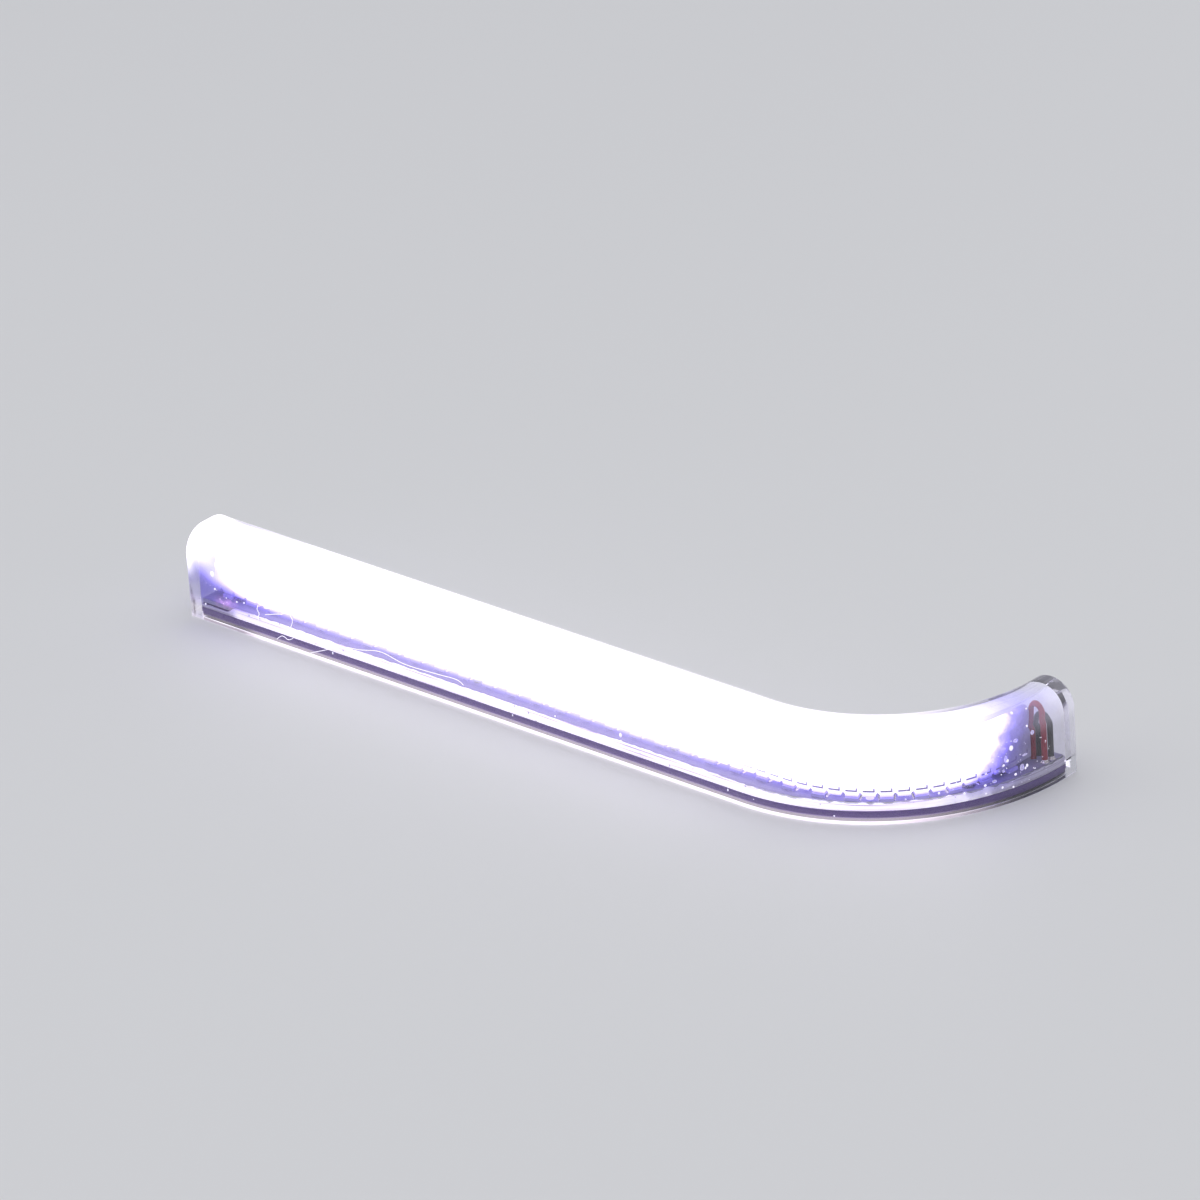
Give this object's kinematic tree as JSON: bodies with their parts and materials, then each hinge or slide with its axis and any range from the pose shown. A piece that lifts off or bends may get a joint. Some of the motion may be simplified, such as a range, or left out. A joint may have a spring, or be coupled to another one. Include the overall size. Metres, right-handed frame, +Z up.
{
  "type": "daytime running light",
  "caption": "Bent daytime running light: clear domed lens over a toothed light guide, with a diode board, sealed back housing and cable inlet.",
  "frame": {"origin": "centre of the plan box, at the height of the lens's open rim", "axes": "+X along the long leg towards the bend, +Y towards the side that the bend turns to, +Z up out of the dome"},
  "size_m": [0.209, 0.053, 0.021],
  "materials": {
    "clear_lens": "clear polished polycarbonate",
    "black_moulding": "fine texture",
    "sealant": "satin",
    "thermal_pad": "matt",
    "board_white": "white solder mask",
    "led_white": "matt",
    "phosphor": "lit",
    "lit_guide": "clear, lit from below",
    "screw_steel": "zinc plated",
    "component_black": "moulded",
    "capacitor_tan": "fired ceramic",
    "solder": "bright",
    "red_insulation": "satin",
    "black_insulation": "satin",
    "inlet_rubber": "matt",
    "insert_brass": "turned",
    "membrane_white": "matt"
  },
  "bodies": {
    "root": {"outer_lens": "clear_lens", "housing": "black_moulding", "sealing_bead": "sealant", "thermal_pad": "thermal_pad", "led_board": "board_white", "led_packages": "led_white", "led_phosphors": "phosphor", "light_guide": "lit_guide", "board_screws": "screw_steel", "driver_chip": "component_black", "input_diode": "component_black", "surge_clamp": "component_black", "filter_capacitors": "capacitor_tan", "string_resistors": "component_black", "lead_terminals": "solder", "red_lead": "red_insulation", "black_lead": "black_insulation", "cable_grommet": "inlet_rubber", "threaded_inserts": "insert_brass", "vent_membrane": "membrane_white", "vent_cap": "black_moulding"}
  },
  "joints": []
}
